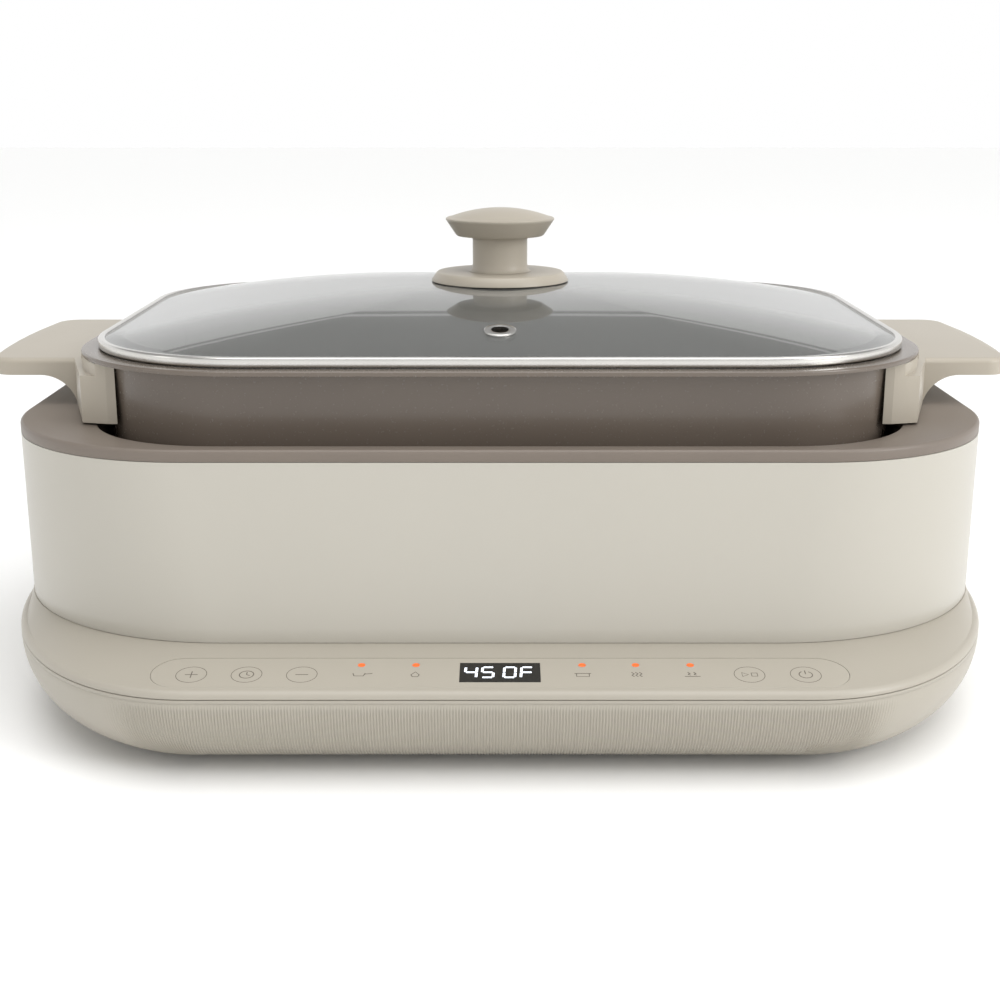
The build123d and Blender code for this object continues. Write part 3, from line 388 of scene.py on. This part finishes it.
for x, y in ((-198, -50), (198, -50), (-198, 90), (198, 90), (-95, -148), (95, -148)):
    ring = np.stack([x + 4 * np.cos(turn), y + 4 * np.sin(turn)], 1)
    prism = np.concatenate([np.column_stack([ring, np.full(16, z)]) for z in (1.0, 9.0)])
    slotParts.append((prism, gridFaces(2, 16).tolist() + [list(range(15, -1, -1)), list(range(16, 32))]))
starts = np.cumsum([0] + [len(p) for p, f in slotParts])
slotFaces = [[i + int(s) for i in face] for (p, f), s in zip(slotParts, starts) for face in f]
slotCut = bpy.data.meshes.new("slotCut")
slotCut.from_pydata((np.concatenate([p for p, f in slotParts]) * mm).tolist(), [], slotFaces)
slotCutter = bpy.data.objects.new("slotCut", slotCut)
bpy.context.scene.collection.objects.link(slotCutter)
cuts.append(slotCutter)
cutAway(tubPiece, cuts, angle=72)
settle(tubPiece, "base", "base_shell", "lower_housing")
# the recess's own walls: a U in plan, run up from the tub's floor
uShape = np.array([(47.4, 183.0), (47.4, 170.4), (92.6, 170.4), (92.6, 183.0), (90.0, 183.0), (90.0, 173.0),
                   (50.0, 173.0), (50.0, 183.0)])
recessRows = np.stack([np.column_stack([uShape, np.full(8, z)]) for z in (8.0, 37.9)])
recessWall = makePiece("cordRecess", recessRows, gridFaces(2, 8).tolist(), "greigeAbs")
work = bmesh.new()
work.from_mesh(recessWall.data)
bmesh.ops.holes_fill(work, edges=work.edges)
bmesh.ops.recalc_face_normals(work, faces=work.faces)
work.to_mesh(recessWall.data)
work.free()
settle(recessWall, "base", "base_shell")
print("tub made")

# the sloping deck over the shell, with the control panel let into it
deck = {"rimZ": 41.6, "seatZ": 47.3}
rimRows = rowsOf(basePlan, [(-0.35, 38.3), (-0.1, 38.38), (0, 38.6)] + arc((-3.0, 38.6), 3.0, 8, 90, 9), coarse)
seatRow = rowsOf(wallLow, [(0.4, deck["seatZ"])], coarse)[0]
slope = between(rimRows[-1], seatRow, np.linspace(0.06, 1, 14))
deckInner = rowsOf(wallLow, [(-3.0, deck["seatZ"]), (-3.0, 44.8)], coarse)
deckLip = rowsOf(basePlan, [(-4.8, 39.3), (-4.8, 38.3)], coarse)
deckPiece = shellPiece("deck", [rimRows, slope, deckInner, deckLip], "greigeAbs", angle=24)


def deckHeight(x, y):
    # how far up the straight run from the rounded edge to the housing's foot a place lies, at the same x
    low = 155 - 186 - 155 * np.cos(np.arcsin(np.clip((np.abs(x) - 126) / 102, 0, 1))) + 3.0
    high = wellY - 163.1 + 105 - 105 * np.cos(np.arcsin(np.clip((np.abs(x) - 118.7) / 105, 0, 1))) - 0.4
    share = (y - low) / (high - low)
    return deck["rimZ"] + (deck["seatZ"] - deck["rimZ"]) * share


panel = {"middleY": -169.3, "halfX": 143.0, "halfY": 11.8, "slopeCos": 0.9882, "keyLine": -1.7, "lightLine": 6.1,
         "keyX": (-126.2, -103.6, -81.0, 102.0, 125.0), "lightX": (-57.2, -34.7, 33.9, 56.0, 78.6)}


def stadium(halfX, halfY, top, bottom, edge):
    # sections across a long round-ended plate that lies on the deck's slope; drops are in mm below the slope
    t = np.linspace(0, math.pi, 140)
    flat = halfX - halfY
    x = -np.cos(t) * halfX
    wide = np.sqrt(np.clip(halfY ** 2 - np.clip(np.abs(x) - flat, 0, None) ** 2, 0, None))
    across = np.array([-1, -1, -1, -0.6, -0.2, 0.2, 0.6, 1, 1, 1])
    trim = np.array([0, 0, edge, edge, edge, edge, edge, edge, 0, 0])
    drop = np.array([bottom, top + edge, top, top, top, top, top, top, top + edge, bottom])
    y = across * np.clip(wide[:, None] - trim, 0, None) * panel["slopeCos"] + panel["middleY"]
    xs = np.broadcast_to(x[:, None], y.shape)
    return np.stack([xs, y, deckHeight(xs, y) - drop], 2)


recessCut = stadium(panel["halfX"] + 0.2, panel["halfY"] + 0.2, -3.0, 0.6, 0.0)
cutter = makePiece("panelCut", recessCut, gridFaces(*recessCut.shape[:2]), "greigeAbs")
cutAway(deckPiece, [cutter], angle=24)
settle(deckPiece, "base", "base_shell", "control_deck")

film = stadium(panel["halfX"], panel["halfY"], 0.05, 0.55, 0.12)
filmPiece = makePiece("panelFilm", film, gridFaces(*film.shape[:2]), "panelFilm")
windowCorner = [(x, panel["middleY"] + y * panel["slopeCos"]) for x, y in ((-16.6, -7.9), (16.6, -7.9), (16.6, 7.9), (-16.6, 7.9))]
windowBox = [(x, y, z) for z in (36.0, 52.0) for x, y in windowCorner]
holes = [makePiece("windowCut", windowBox, recessFaces, "panelFilm")]
for x in panel["lightX"]:
    y = panel["middleY"] + panel["lightLine"] * panel["slopeCos"]
    holes.append(makePiece("lightCut", spinRows([(0, -4), (1.6, -4), (1.6, 4), (0, 4)], (x, y, deckHeight(x, y)), 0.153, 32),
                           gridFaces(4, 32), "panelFilm"))
cutAway(filmPiece, holes)
settle(filmPiece, "base", "panel_film", "control_overlay")
print("deck and panel made")


def ribbon(path, width, lift, closed=False, depth=0.05):
    # a flat printed line: the path widened along its normals, with a little thickness
    path = np.array(path, float)
    ahead = np.roll(path, -1, 0) - path
    if not closed:
        ahead[-1] = ahead[-2]
    behind = np.roll(ahead, 1, 0)
    if not closed:
        behind[0] = ahead[0]
    lean = ahead / np.linalg.norm(ahead, axis=1, keepdims=True) + behind / np.linalg.norm(behind, axis=1, keepdims=True)
    lean /= np.linalg.norm(lean, axis=1, keepdims=True)
    normal = np.stack([-lean[:, 1], lean[:, 0]], 1) * width / 2
    sides = [(path + normal, lift - depth), (path + normal, lift), (path - normal, lift), (path - normal, lift - depth)]
    rows = []
    for flat, high in sides:
        y = panel["middleY"] + flat[:, 1] * panel["slopeCos"]
        rows.append(np.column_stack([flat[:, 0], y, deckHeight(flat[:, 0], y) + high]))
    rows = np.stack(rows, 1)
    faces = gridFaces(rows.shape[0], 4, closed).tolist()
    if not closed:
        last = 4 * (rows.shape[0] - 1)
        faces += [[3, 2, 1, 0], [last, last + 1, last + 2, last + 3]]
    return rows.reshape(-1, 3), faces


def circle(x, y, radius, start=0, end=360, steps=40):
    angle = np.radians(np.linspace(start, end, steps, endpoint=end - start < 360))
    if end - start >= 360:
        angle = angle[:-1]
    return np.stack([x + radius * np.cos(angle), y + radius * np.sin(angle)], 1)


marks = {"ringR": 6.25, "line": 0.26, "bold": 0.42, "lift": -0.03}
ink = []
line, bold, lift = marks["line"], marks["bold"], marks["lift"]
for x in panel["keyX"]:
    ink.append(ribbon(circle(x, panel["keyLine"], marks["ringR"], steps=72), line, lift, True))
plusX, clockX, minusX, startX, powerX = panel["keyX"]
rowY = panel["keyLine"]
ink += [ribbon([(plusX - 2.6, rowY), (plusX + 2.6, rowY)], bold, lift),
        ribbon([(plusX, rowY - 2.6), (plusX, rowY + 2.6)], bold, lift),
        ribbon([(minusX - 2.6, rowY), (minusX + 2.6, rowY)], bold, lift)]
# a clock face for the time key, a triangle and a square for start and stop, a broken ring for power
ink += [ribbon(circle(clockX, rowY, 2.9), bold, lift, True),
        ribbon([(clockX, rowY + 1.9), (clockX, rowY), (clockX + 1.4, rowY - 0.8)], bold, lift),
        ribbon([(startX - 3.0, rowY - 1.6), (startX - 3.0, rowY + 1.6), (startX - 0.4, rowY)], bold, lift, True),
        ribbon([(startX + 0.8, rowY - 1.3), (startX + 3.2, rowY - 1.3), (startX + 3.2, rowY + 1.3),
                (startX + 0.8, rowY + 1.3)], bold, lift, True),
        ribbon(circle(powerX, rowY, 2.7, 120, 420, 36), bold, lift),
        ribbon([(powerX, rowY + 0.4), (powerX, rowY + 3.3)], bold, lift)]
# small pictures under the indicators: a pan, a flame, a pot, steam, a warm plate
panX, flameX, potX, steamX, plateX = panel["lightX"]
ink += [ribbon([(panX - 3, rowY + 1), (panX - 2.4, rowY - 1.1), (panX + 1.4, rowY - 1.1), (panX + 2, rowY + 1)], bold, lift),
        ribbon([(panX + 2, rowY + 0.4), (panX + 5, rowY + 0.9)], bold, lift),
        ribbon([(flameX, rowY + 2.2), (flameX - 1.7, rowY - 0.2), (flameX - 1.1, rowY - 1.7), (flameX + 1.1, rowY - 1.7),
                (flameX + 1.7, rowY - 0.2)], bold, lift, True),
        ribbon([(potX - 2.6, rowY + 0.9), (potX - 2.6, rowY - 1.6), (potX + 2.6, rowY - 1.6), (potX + 2.6, rowY + 0.9)], bold, lift),
        ribbon([(potX - 3.4, rowY + 0.9), (potX + 3.4, rowY + 0.9)], bold, lift),
        ribbon([(plateX - 3.2, rowY - 1.5), (plateX + 3.2, rowY - 1.5)], bold, lift)]
wavy = np.linspace(-1.7, 1.9, 16)
for shift in (-1.6, 0.0, 1.6):
    ink.append(ribbon(np.stack([steamX + shift + 0.45 * np.sin(wavy * 2.6), rowY + wavy], 1), bold, lift))
for shift in (-1.2, 1.2):
    ink.append(ribbon(np.stack([plateX + shift + 0.4 * np.sin(wavy * 3), rowY + 0.6 + wavy * 0.7], 1), bold, lift))
markPiece = joinAll("panelMarks", ink, "greyInk")
settle(markPiece, "base", "panel_film")

# four seven-segment figures, leaning a little: 4, 5, 0 and F
readout = {"height": 8.2, "width": 4.6, "bar": 1.0, "lean": 0.05, "lift": 0.06, "places": (-11.9, -5.0, 4.0, 11.0)}
w, h, gap = readout["width"] / 2, readout["height"] / 2, 0.35
segments = {"a": ((-w + gap, h), (w - gap, h)), "b": ((w, h - gap), (w, gap)), "c": ((w, -gap), (w, gap - h)),
            "d": ((-w + gap, -h), (w - gap, -h)), "e": ((-w, -gap), (-w, gap - h)), "f": ((-w, h - gap), (-w, gap)),
            "g": ((-w + gap, 0), (w - gap, 0))}
bars = []
for middle, lit in zip(readout["places"], ("bcfg", "acdfg", "abcdef", "aefg")):
    for key in lit:
        path = [(middle + x + y * readout["lean"], y) for x, y in segments[key]]
        bars.append(ribbon(path, readout["bar"], readout["lift"]))
barPiece = joinAll("displayFigures", bars, "litSegment")
settle(barPiece, "base", "display_black")
print("panel marks made")

# the painted wall round the well and the collar that finishes its top
wall = {"thick": 1.6, "lowZ": 47.4, "highZ": 125.3}
lowRow, highRow = rowsOf(wallLow, [(0, wall["lowZ"])], fine)[0], rowsOf(wallHigh, [(0, wall["highZ"])], fine)[0]
lowIn, highIn = rowsOf(wallLow, [(-wall["thick"], wall["lowZ"])], fine)[0], rowsOf(wallHigh, [(-wall["thick"], wall["highZ"])], fine)[0]
lowEdge = rowsOf(wallLow, [(-0.5, wall["lowZ"]), (-0.15, wall["lowZ"] + 0.12)], fine)
wallPiece = shellPiece("housingWall", [lowEdge, between(lowRow, highRow, np.linspace(0.006, 1, 14)), highIn, lowIn],
                       "greigeEnamel")
settle(wallPiece, "base", "housing_paint", "upper_housing")

collar = {"topZ": 130.6, "lipTurnZ": 118.0, "lipLowZ": 112.0, "lip": 1.6}
openTop, openLow = plan(181.5, 151.7, 60.0), plan(180.4, 138.5, 58.0)
collarEdge = rowsOf(wallHigh, [(-0.6, 125.4), (-0.15, 125.5), (0, 125.8)] + arc((-1.6, 129.0), 1.6, 4, 90, 8), fine)
mouth = rowsOf(openTop, [(0.5, collar["topZ"]), (0.15, collar["topZ"] - 0.15)], fine)
turnRow = rowsOf(openLow, [(0, collar["lipTurnZ"])], fine)[0]
lip = rowsOf(openLow, [(0, collar["lipLowZ"]), (collar["lip"], collar["lipLowZ"]), (collar["lip"], collar["lipTurnZ"])], fine)
backOfMouth = rowsOf(openTop, [(1.6, 127.6)], fine)
backOfPlate = rowsOf(wallHigh, [(-2.2, 127.6), (-2.2, 119.0)], fine)
collarPiece = shellPiece("collar", [collarEdge, between(collarEdge[-1], mouth[0], (0.25, 0.5, 0.75)), mouth,
                                    between(mouth[-1], turnRow, (0.3, 0.6, 0.9, 1.0)), lip, backOfMouth,
                                    backOfPlate, rowsOf(wallHigh, [(-1.7, 119.0), (-1.7, 125.4)], fine)],
                         "taupeNylon")
settle(collarPiece, "base", "collar_plastic", "top_collar")
print("housing made")

# the cooking pan with its turned-out rim
pan = {"lowZ": 62.4, "rimTop": 160.7, "wall": 3.0}
panLow, panHigh, panRim = plan(176, 130, 56.0), plan(181, 135, 60.0), plan(193, 145, 80.0)
footRows = rowsOf(panLow, [(-12 + 12 * math.cos(a), 74.4 + 12 * math.sin(a)) for a in np.radians(np.linspace(-90, -4, 8))], fine)
neck = rowsOf(panHigh, [(0, 157.9), (0.25, 158.4)], fine)
rimOut = rowsOf(panRim, [(-0.6, 158.5), (-0.1, 158.7)] + arc((-0.9, 159.8), 0.9, 0, 90, 6), fine)
throat = rowsOf(panHigh, [(-1.9, pan["rimTop"]), (-2.7, 160.3), (-pan["wall"], 159.4)], fine)
floorRows = rowsOf(panLow, [(-3 - 10 + 10 * math.cos(a), 75.4 + 10 * math.sin(a)) for a in np.radians(np.linspace(-4, -90, 8))], fine)
panPiece = shellPiece("pan", [toMiddle(footRows[0], (0, wellY, pan["lowZ"]), (0.0, 0.5)), footRows,
                              between(footRows[-1], neck[0], np.linspace(0.1, 1, 10)), neck[1:], rimOut,
                              throat, between(throat[-1], floorRows[0], np.linspace(0.1, 0.9, 8)), floorRows,
                              toMiddle(floorRows[-1], (0, wellY, pan["lowZ"] + pan["wall"]), (0.5, 0.0))], "taupeCeramic", closeRows=False)
settle(panPiece, "pan", "pan_enamel", "cooking_pan")

# the domed glass lid in its steel band, with the vent and the knob
lidPlan, glassPlan = plan(186, 138, 76.0), plan(181, 133, 71.0)
band = [(-3.2, 161.2), (-1.0, 161.1)] + arc((-0.8, 161.9), 0.8, -80, 0, 5) + arc((-1.3, 164.2), 1.3, 0, 90, 7)
band += [(-2.6, 165.5), (-3.15, 165.2), (-3.2, 164.7)]
rimPiece = shellPiece("lidRim", [rowsOf(lidPlan, band, fine)], "polishedSteel", angle=50)
settle(rimPiece, "lid", "lid_steel", "lid_rim")

dome = {"baseZ": 164.6, "rise": 17.4, "power": 2.2, "thick": 3.8, "flatShare": 0.22}


def domeHeight(share):
    # falls away from the crown as a power of the distance, with a level middle under the knob
    return dome["baseZ"] + dome["rise"] * (1 - np.clip(share, dome["flatShare"], 1) ** dome["power"])


shares = np.concatenate([np.linspace(1, 0.9, 8), np.linspace(0.87, 0.25, 22), [0.22, 0.1, 0.0]])
edgeRow = rowsOf(glassPlan, [(0, 0)], fine)[0]
top = toMiddle(edgeRow, (0, wellY, 0), shares)
top[:, :, 2] = domeHeight(shares)[:, None]
bottom = top[::-1].copy()
bottom[:, :, 2] -= dome["thick"]
flange = rowsOf(lidPlan, [(-6.5, 162.0), (-1.5, 162.0), (-1.0, 162.5), (-1.0, 164.1), (-1.5, 164.6)], fine)
glassPiece = shellPiece("lidGlass", [flange, top, bottom[:-2]], "greyGlass", closeRows=True, angle=40)
ventShare = (87 + wellY) / 133
vent = {"y": -87.0, "z": float(domeHeight(ventShare)),
        "tilt": math.atan(dome["rise"] * dome["power"] * ventShare ** (dome["power"] - 1) / 133)}
holeRows = spinRows([(0, -8), (4.9, -8), (4.9, 8), (0, 8)], (0, vent["y"], vent["z"]), vent["tilt"], 40)
cutAway(glassPiece, [makePiece("ventCut", holeRows, gridFaces(4, 40), "greyGlass")], angle=40)
settle(glassPiece, "lid", "lid_glass", "lid_glass")

grommet = [(3.9, 0.9), (4.3, 1.05), (6.6, 1.05), (7.1, 0.8), (7.2, 0.3), (7.1, 0.12), (5.2, 0.1), (4.8, -0.4), (4.8, -4.2),
           (6.8, -4.3), (6.9, -4.9), (4.2, -5.0), (3.9, -4.7)]
grommetRows = spinRows(grommet, (0, vent["y"], vent["z"]), vent["tilt"], 64)
grommetPiece = shellPiece("ventGrommet", [grommetRows], "polishedSteel", angle=40)
settle(grommetPiece, "lid", "grommet_metal", "vent_grommet")

knobBase = [(2.6, 182.2), (30.0, 182.2), (31.0, 181.7), (33.9, 181.65), (34.3, 181.9), (34.3, 182.3), (32.0, 185.6),
            (31.3, 186.2), (30.4, 186.3), (2.6, 186.3)]
baseRows = spinRows(knobBase, (0, wellY, 0), 0, 128)
knobBasePiece = shellPiece("knobBase", [baseRows], "warmPhenolic", angle=50)
settle(knobBasePiece, "lid", "handle_plastic", "knob_base")

capTop = [(27.1 * math.sin(a) / math.sin(0.386), 217.7 - 71.9 * (1 - math.cos(a))) for a in np.linspace(0.365, 0.0, 12)]
knobProfile = [(2.1, 195.0), (2.1, 186.4), (15.6, 186.4), (14.6, 186.9), (14.0, 188.0), (13.7, 190.0), (13.7, 202.0),
               (14.1, 203.3), (15.2, 204.0), (21.4, 204.1), (22.1, 204.6), (26.6, 211.3), (27.1, 212.0), (27.0, 212.6),
               (26.3, 213.0)] + capTop
knobRows = spinRows(knobProfile + [(0.0, 195.0)], (0, wellY, 0), 0, 128)
knobPiece = shellPiece("knobCap", [knobRows], "warmPhenolic", angle=50)
settle(knobPiece, "lid", "handle_plastic", "knob")
print("lid made")


def softHandle(name, node):
    # the engineering solid, merged and thinned to its real edges, with every edge rounded off
    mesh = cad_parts[node].data.copy()
    work = bmesh.new()
    work.from_mesh(mesh)
    bmesh.ops.remove_doubles(work, verts=work.verts, dist=1e-6)
    bmesh.ops.dissolve_limit(work, angle_limit=math.radians(1.5), verts=work.verts, edges=work.edges)
    work.to_mesh(mesh)
    work.free()
    mesh.shade_smooth()
    mesh.set_sharp_from_angle(angle=math.radians(32))
    mesh.materials.clear()
    mesh.materials.append(finish["warmPhenolic"])
    piece = bpy.data.objects.new(name, mesh)
    bpy.context.scene.collection.objects.link(piece)
    edge = piece.modifiers.new("edge", "BEVEL")
    edge.width, edge.segments, edge.limit_method, edge.angle_limit = 1.1 * mm, 3, "ANGLE", math.radians(32)
    edge.harden_normals = True
    return piece


for side in ("left", "right"):
    settle(softHandle(side + "Handle", side + "_handle"), "pan", "handle_plastic", side + "_handle")
print("handles made")

# the engineering pieces that stay, each with its own finish
nodeFinish = {
    "blackRubber": ["foot_front_left", "foot_front_right", "foot_rear_left", "foot_rear_right", "cord_gland"],
    "zincPlate": ["base_screws", "spacer_tubes", "tie_screws", "liner_screws", "heater_spacers", "plate_screws", "fuse_clip",
                  "sensor_housing", "sensor_plunger", "sensor_clip", "board_screws", "handle_screws", "knob_screw"],
    "aluminisedSheet": ["inner_liner", "heat_reflector"], "castAluminium": ["heating_plate"],
    "annealedSheath": ["heating_element"], "steatite": ["thermal_fuse"], "springWire": ["sensor_spring", "touch_springs"],
    "smokedAcrylic": ["display_window"], "blackEpoxy": ["display_module", "buzzer"],
    "amberLight": [f"indicator_pipe_{i}" for i in range(1, 6)], "solderMask": ["control_board", "power_board"],
    "yellowTape": ["transformer"], "blueCase": ["relay"], "ochreEpoxy": ["filter_capacitor"],
    "ivoryNylon": ["terminal_block"], "ribbonPvc": ["ribbon_cable"], "greySilicone": ["knob_washer"]}
for name, nodes in nodeFinish.items():
    for node in nodes:
        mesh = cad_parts[node].data
        mesh.materials.clear()
        mesh.materials.append(finish[name])

# a pale floor and soft light from above and the right
stage = {"floor": "#fbfbfa", "size": 14.0, "sky": ((0, 1.0), (0.418, 1.0), (0.424, 0.42), (0.438, 0.42), (0.443, 1.0),
                                                   (0.452, 1.0), (0.458, 0.42), (0.99, 0.5))}
material, tree = newMaterial("studioFloor")
shader = addNode(tree, "ShaderNodeBsdfPrincipled", {"Base Color": linearColour(stage["floor"]), "Roughness": 0.6})
addNode(tree, "ShaderNodeOutputMaterial", None, {"Surface": (shader, "BSDF")})
half = stage["size"] / 2
mesh = bpy.data.meshes.new("studioFloor")
mesh.from_pydata([(-half, -half, 0), (half, -half, 0), (half, half, 0), (-half, half, 0)], [], [(0, 1, 2, 3)])
mesh.materials.append(material)
ground = bpy.data.objects.new("studioFloor", mesh)
bpy.context.scene.collection.objects.link(ground)

world = bpy.data.worlds.new("studioSky")
world.use_nodes = True
world.node_tree.nodes.clear()
# brightness by height of the direction looked in: white up to a backdrop's edge, a dark gap, its bright rail,
# then the dimmer room above
place = addNode(world.node_tree, "ShaderNodeTexCoord")
height = addNode(world.node_tree, "ShaderNodeSeparateXYZ", None, {"Vector": (place, "Generated")})
steps = addNode(world.node_tree, "ShaderNodeValToRGB", None, {"Fac": (height, "Z")})
for spot, shade in stage["sky"]:
    stop = steps.color_ramp.elements.new(spot) if spot > 0 else steps.color_ramp.elements[0]
    stop.color = (shade, shade, shade, 1)
sky = addNode(world.node_tree, "ShaderNodeBackground", {"Strength": 1.0}, {"Color": (steps, "Color")})
addNode(world.node_tree, "ShaderNodeOutputWorld", None, {"Surface": (sky, "Background")})
bpy.context.scene.world = world


def softbox(name, place, target, size, power):
    lamp = bpy.data.lights.new(name, "AREA")
    lamp.shape, lamp.size, lamp.size_y, lamp.energy = "RECTANGLE", size[0], size[1], power
    holder = bpy.data.objects.new(name, lamp)
    holder.location = place
    holder.rotation_euler = (Vector(target) - Vector(place)).to_track_quat("-Z", "Y").to_euler()
    bpy.context.scene.collection.objects.link(holder)


softbox("topBox", (0.0, 0.1, 2.0), (0, 0, 0), (1.8, 1.4), 6)
softbox("rightBox", (1.9, -1.2, 1.1), (0, 0, 0.1), (0.9, 1.2), 22)
softbox("leftBox", (-1.9, -0.9, 0.9), (0, 0, 0.1), (0.5, 1.2), 1.5)

# a broad even light from overhead, which keeps the far floor as pale as the near
overhead = bpy.data.lights.new("overhead", "SUN")
overhead.energy, overhead.angle = 1.5, math.radians(60)
holder = bpy.data.objects.new("overhead", overhead)
holder.rotation_euler = (math.radians(12), math.radians(8), 0)
bpy.context.scene.collection.objects.link(holder)

lens = bpy.data.cameras.new("camera")
lens.lens, lens.sensor_width = 55.34, 36.0
camera = bpy.data.objects.new("camera", lens)
camera.location = (0.0, -0.7597, 0.2742)
camera.rotation_euler = (math.radians(75.07), 0, 0)
bpy.context.scene.collection.objects.link(camera)
bpy.context.scene.camera = camera
bpy.context.scene.view_settings.view_transform = "Standard"
print("stage made")
